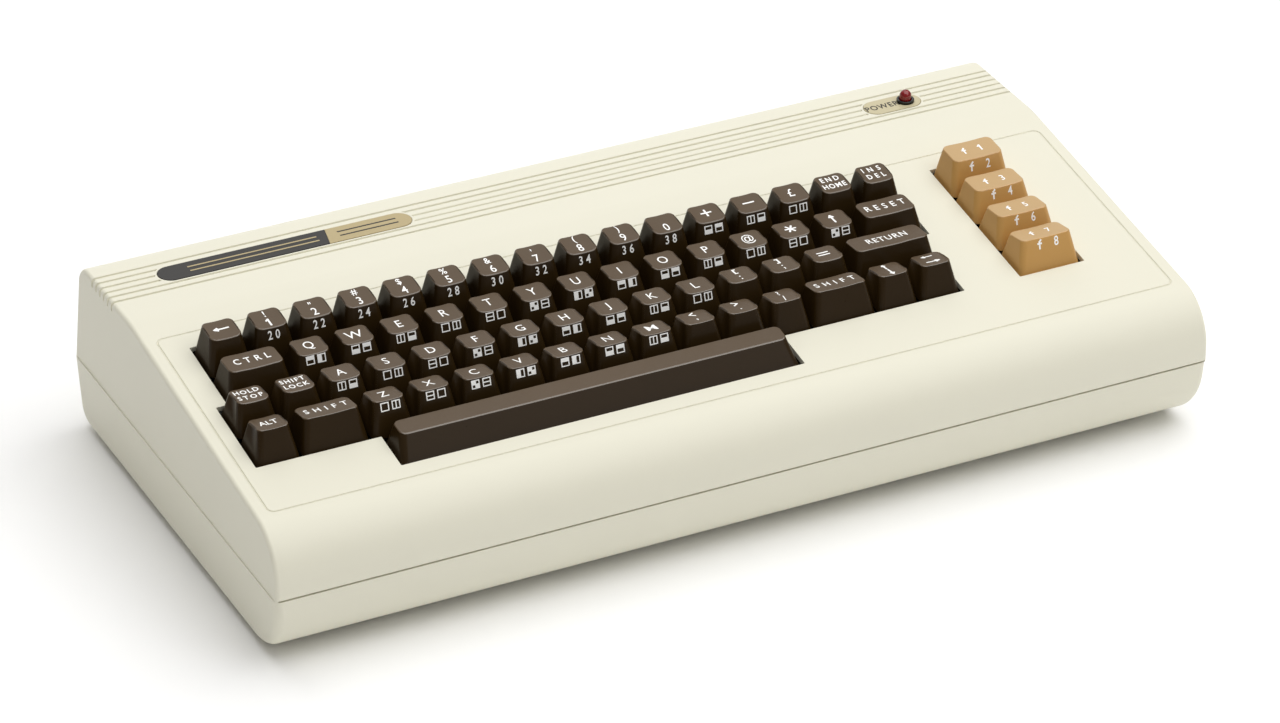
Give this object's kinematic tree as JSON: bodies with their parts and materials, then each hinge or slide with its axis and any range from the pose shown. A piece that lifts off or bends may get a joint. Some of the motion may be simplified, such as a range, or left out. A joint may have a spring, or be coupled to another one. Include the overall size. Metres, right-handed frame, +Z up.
{
  "type": "home computer",
  "caption": "Wedge-shaped home computer in a two-part case with a full staggered keyboard, a column of function keys, a ribbed rear edge, badge recesses and a power lamp.",
  "frame": {"origin": "on the table, under the middle of the case", "axes": "+X to the right as the typist sees it, +Y to the back, +Z up"},
  "size_m": [0.4062, 0.203, 0.0863],
  "materials": {
    "case_plastic": "moulded, fine satin grain",
    "key_brown": "moulded, slight gloss on the sides and matt tops",
    "function_key_tan": "moulded, slight gloss",
    "badge_dark": "printed dark lacquer with a gold end",
    "badge_gold": "printed pale gold",
    "lamp_red": "clear red lens",
    "black_plastic": "moulded",
    "circuit_board": "solder mask",
    "cable_grey": "ribbon cable",
    "steel": "plated",
    "heat_sink_aluminium": "black anodised",
    "capacitor_blue": "sleeve",
    "connector_blue": "moulded",
    "rubber": "matt"
  },
  "bodies": {
    "case": {"top_case": "case_plastic", "bottom_case": "case_plastic", "name_badge": "badge_dark", "power_badge": "badge_gold", "lamp_clip": "black_plastic", "power_lamp": "lamp_red", "keyboard_frame": "black_plastic", "keyboard_circuit_board": "circuit_board", "keyboard_cable": "cable_grey", "main_circuit_board": "circuit_board", "shield_box": "steel", "heat_sink": "heat_sink_aluminium", "capacitor_can": "capacitor_blue", "expansion_socket": "connector_blue", "video_socket": "black_plastic", "serial_socket": "black_plastic", "control_port": "black_plastic", "power_inlet": "black_plastic", "power_switch_body": "black_plastic", "case_screw_1": "steel", "case_screw_2": "steel", "case_screw_3": "steel", "foot_1": "rubber", "foot_2": "rubber", "foot_3": "rubber", "foot_4": "rubber"},
    "power_rocker": {"power_switch_rocker": "black_plastic"},
    "number_keys_1": {"number_keys_1": "key_brown"},
    "number_keys_2": {"number_keys_2": "key_brown"},
    "number_keys_3": {"number_keys_3": "key_brown"},
    "number_keys_4": {"number_keys_4": "key_brown"},
    "number_keys_5": {"number_keys_5": "key_brown"},
    "edit_keys": {"edit_keys": "key_brown"},
    "control_key": {"control_key": "key_brown"},
    "upper_keys_1": {"upper_keys_1": "key_brown"},
    "upper_keys_2": {"upper_keys_2": "key_brown"},
    "upper_keys_3": {"upper_keys_3": "key_brown"},
    "upper_keys_4": {"upper_keys_4": "key_brown"},
    "upper_keys_5": {"upper_keys_5": "key_brown"},
    "restore_key": {"restore_key": "key_brown"},
    "stop_key": {"stop_key": "key_brown"},
    "shift_lock_key": {"shift_lock_key": "key_brown"},
    "home_keys_1": {"home_keys_1": "key_brown"},
    "home_keys_2": {"home_keys_2": "key_brown"},
    "home_keys_3": {"home_keys_3": "key_brown"},
    "home_keys_4": {"home_keys_4": "key_brown"},
    "return_key": {"return_key": "key_brown"},
    "mode_key": {"mode_key": "key_brown"},
    "left_shift_key": {"left_shift_key": "key_brown"},
    "lower_keys_1": {"lower_keys_1": "key_brown"},
    "lower_keys_2": {"lower_keys_2": "key_brown"},
    "lower_keys_3": {"lower_keys_3": "key_brown"},
    "lower_keys_4": {"lower_keys_4": "key_brown"},
    "right_shift_key": {"right_shift_key": "key_brown"},
    "cursor_keys": {"cursor_keys": "key_brown"},
    "function_key_1": {"function_key_1": "function_key_tan"},
    "function_key_2": {"function_key_2": "function_key_tan"},
    "function_key_3": {"function_key_3": "function_key_tan"},
    "function_key_4": {"function_key_4": "function_key_tan"},
    "space_bar": {"space_bar": "key_brown"}
  },
  "joints": [
    {"name": "number_keys_1_press", "type": "slide", "parent": "case", "child": "number_keys_1", "axis": [0, 0.1444, -0.9895], "range_m": [0, 0.004], "stiffness_N_per_m": 240, "springref_m": -0.004},
    {"name": "number_keys_2_press", "type": "slide", "parent": "case", "child": "number_keys_2", "axis": [0, 0.1444, -0.9895], "range_m": [0, 0.004], "stiffness_N_per_m": 240, "springref_m": -0.004},
    {"name": "number_keys_3_press", "type": "slide", "parent": "case", "child": "number_keys_3", "axis": [0, 0.1444, -0.9895], "range_m": [0, 0.004], "stiffness_N_per_m": 160, "springref_m": -0.004},
    {"name": "number_keys_4_press", "type": "slide", "parent": "case", "child": "number_keys_4", "axis": [0, 0.1444, -0.9895], "range_m": [0, 0.004], "stiffness_N_per_m": 240, "springref_m": -0.004},
    {"name": "number_keys_5_press", "type": "slide", "parent": "case", "child": "number_keys_5", "axis": [0, 0.1444, -0.9895], "range_m": [0, 0.004], "stiffness_N_per_m": 240, "springref_m": -0.004},
    {"name": "edit_keys_press", "type": "slide", "parent": "case", "child": "edit_keys", "axis": [0, 0.1444, -0.9895], "range_m": [0, 0.004], "stiffness_N_per_m": 160, "springref_m": -0.004},
    {"name": "control_key_press", "type": "slide", "parent": "case", "child": "control_key", "axis": [0, 0.1444, -0.9895], "range_m": [0, 0.004], "stiffness_N_per_m": 80, "springref_m": -0.004},
    {"name": "upper_keys_1_press", "type": "slide", "parent": "case", "child": "upper_keys_1", "axis": [0, 0.1444, -0.9895], "range_m": [0, 0.004], "stiffness_N_per_m": 240, "springref_m": -0.004},
    {"name": "upper_keys_2_press", "type": "slide", "parent": "case", "child": "upper_keys_2", "axis": [0, 0.1444, -0.9895], "range_m": [0, 0.004], "stiffness_N_per_m": 160, "springref_m": -0.004},
    {"name": "upper_keys_3_press", "type": "slide", "parent": "case", "child": "upper_keys_3", "axis": [0, 0.1444, -0.9895], "range_m": [0, 0.004], "stiffness_N_per_m": 240, "springref_m": -0.004},
    {"name": "upper_keys_4_press", "type": "slide", "parent": "case", "child": "upper_keys_4", "axis": [0, 0.1444, -0.9895], "range_m": [0, 0.004], "stiffness_N_per_m": 240, "springref_m": -0.004},
    {"name": "upper_keys_5_press", "type": "slide", "parent": "case", "child": "upper_keys_5", "axis": [0, 0.1444, -0.9895], "range_m": [0, 0.004], "stiffness_N_per_m": 160, "springref_m": -0.004},
    {"name": "restore_key_press", "type": "slide", "parent": "case", "child": "restore_key", "axis": [0, 0.1444, -0.9895], "range_m": [0, 0.004], "stiffness_N_per_m": 80, "springref_m": -0.004},
    {"name": "stop_key_press", "type": "slide", "parent": "case", "child": "stop_key", "axis": [0, 0.1444, -0.9895], "range_m": [0, 0.004], "stiffness_N_per_m": 80, "springref_m": -0.004},
    {"name": "shift_lock_key_press", "type": "slide", "parent": "case", "child": "shift_lock_key", "axis": [0, 0.1444, -0.9895], "range_m": [0, 0.004], "stiffness_N_per_m": 80, "springref_m": -0.004},
    {"name": "home_keys_1_press", "type": "slide", "parent": "case", "child": "home_keys_1", "axis": [0, 0.1444, -0.9895], "range_m": [0, 0.004], "stiffness_N_per_m": 240, "springref_m": -0.004},
    {"name": "home_keys_2_press", "type": "slide", "parent": "case", "child": "home_keys_2", "axis": [0, 0.1444, -0.9895], "range_m": [0, 0.004], "stiffness_N_per_m": 240, "springref_m": -0.004},
    {"name": "home_keys_3_press", "type": "slide", "parent": "case", "child": "home_keys_3", "axis": [0, 0.1444, -0.9895], "range_m": [0, 0.004], "stiffness_N_per_m": 240, "springref_m": -0.004},
    {"name": "home_keys_4_press", "type": "slide", "parent": "case", "child": "home_keys_4", "axis": [0, 0.1444, -0.9895], "range_m": [0, 0.004], "stiffness_N_per_m": 240, "springref_m": -0.004},
    {"name": "return_key_press", "type": "slide", "parent": "case", "child": "return_key", "axis": [0, 0.1444, -0.9895], "range_m": [0, 0.004], "stiffness_N_per_m": 80, "springref_m": -0.004},
    {"name": "mode_key_press", "type": "slide", "parent": "case", "child": "mode_key", "axis": [0, 0.1444, -0.9895], "range_m": [0, 0.004], "stiffness_N_per_m": 80, "springref_m": -0.004},
    {"name": "left_shift_key_press", "type": "slide", "parent": "case", "child": "left_shift_key", "axis": [0, 0.1444, -0.9895], "range_m": [0, 0.004], "stiffness_N_per_m": 80, "springref_m": -0.004},
    {"name": "lower_keys_1_press", "type": "slide", "parent": "case", "child": "lower_keys_1", "axis": [0, 0.1444, -0.9895], "range_m": [0, 0.004], "stiffness_N_per_m": 240, "springref_m": -0.004},
    {"name": "lower_keys_2_press", "type": "slide", "parent": "case", "child": "lower_keys_2", "axis": [0, 0.1444, -0.9895], "range_m": [0, 0.004], "stiffness_N_per_m": 160, "springref_m": -0.004},
    {"name": "lower_keys_3_press", "type": "slide", "parent": "case", "child": "lower_keys_3", "axis": [0, 0.1444, -0.9895], "range_m": [0, 0.004], "stiffness_N_per_m": 160, "springref_m": -0.004},
    {"name": "lower_keys_4_press", "type": "slide", "parent": "case", "child": "lower_keys_4", "axis": [0, 0.1444, -0.9895], "range_m": [0, 0.004], "stiffness_N_per_m": 240, "springref_m": -0.004},
    {"name": "right_shift_key_press", "type": "slide", "parent": "case", "child": "right_shift_key", "axis": [0, 0.1444, -0.9895], "range_m": [0, 0.004], "stiffness_N_per_m": 80, "springref_m": -0.004},
    {"name": "cursor_keys_press", "type": "slide", "parent": "case", "child": "cursor_keys", "axis": [0, 0.1444, -0.9895], "range_m": [0, 0.004], "stiffness_N_per_m": 160, "springref_m": -0.004},
    {"name": "function_key_1_press", "type": "slide", "parent": "case", "child": "function_key_1", "axis": [0, 0.1444, -0.9895], "range_m": [0, 0.004], "stiffness_N_per_m": 80, "springref_m": -0.004},
    {"name": "function_key_2_press", "type": "slide", "parent": "case", "child": "function_key_2", "axis": [0, 0.1444, -0.9895], "range_m": [0, 0.004], "stiffness_N_per_m": 80, "springref_m": -0.004},
    {"name": "function_key_3_press", "type": "slide", "parent": "case", "child": "function_key_3", "axis": [0, 0.1444, -0.9895], "range_m": [0, 0.004], "stiffness_N_per_m": 80, "springref_m": -0.004},
    {"name": "function_key_4_press", "type": "slide", "parent": "case", "child": "function_key_4", "axis": [0, 0.1444, -0.9895], "range_m": [0, 0.004], "stiffness_N_per_m": 80, "springref_m": -0.004},
    {"name": "space_bar_press", "type": "slide", "parent": "case", "child": "space_bar", "axis": [0, 0.1444, -0.9895], "range_m": [0, 0.004], "stiffness_N_per_m": 140, "springref_m": -0.004},
    {"name": "power_rocker_tip", "type": "hinge", "parent": "case", "child": "power_rocker", "pos_m": [0.1994, 0.036, 0.0215], "axis": [0, 0, 1], "range_deg": [0, 16]}
  ]
}
